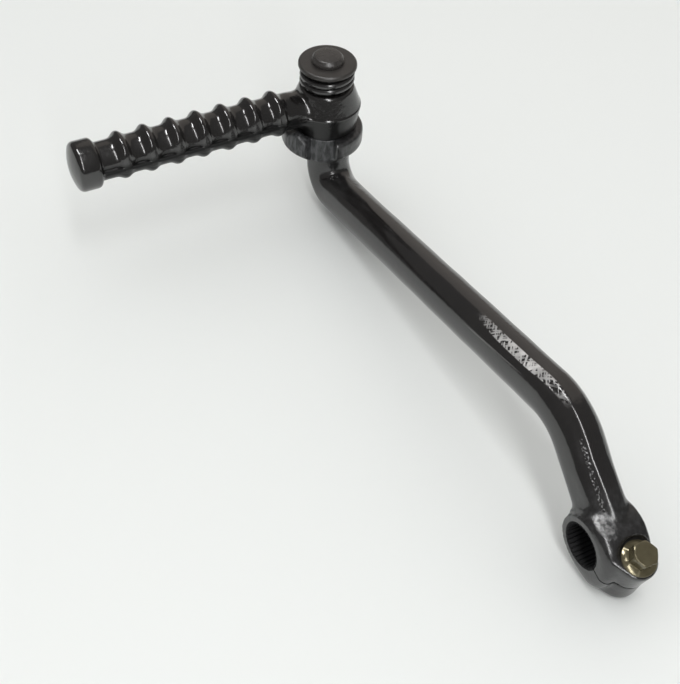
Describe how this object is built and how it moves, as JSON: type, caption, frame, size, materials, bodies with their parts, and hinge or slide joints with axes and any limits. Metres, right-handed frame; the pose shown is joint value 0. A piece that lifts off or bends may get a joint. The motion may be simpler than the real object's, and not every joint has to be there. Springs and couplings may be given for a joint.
{
  "type": "kick start lever",
  "caption": "Cranked forged kick start lever with a serrated split clamp for its shaft and a ribbed foot pedal that folds about a riveted pin.",
  "frame": {"origin": "centre of the shaft bore, halfway along it", "axes": "+X towards the pedal's pin, +Y along the shaft towards the outer face and the pedal's tip, +Z along the pin towards its rivet head"},
  "size_m": [0.2451, 0.1232, 0.0711],
  "materials": {
    "black_paint": "black paint over a forging, worn along the top ridge",
    "pedal_paint": "glossy black paint over a forging",
    "black_steel": "black paint over steel",
    "washer_steel": "satin black over steel",
    "spring_steel": "black spring steel",
    "yellow_zinc": "olive yellow zinc plate"
  },
  "bodies": {
    "arm": {"kick_arm": "black_paint", "pivot_pin": "black_steel", "retaining_washer": "washer_steel", "detent_spring": "spring_steel", "pinch_bolt": "yellow_zinc"},
    "pedal": {"folding_pedal": "pedal_paint"}
  },
  "joints": [
    {"name": "pedal_fold", "type": "hinge", "parent": "arm", "child": "pedal", "pos_m": [0.2074, 0, 0.0332], "axis": [0, 0, 1], "range_deg": [-90, 0]}
  ]
}
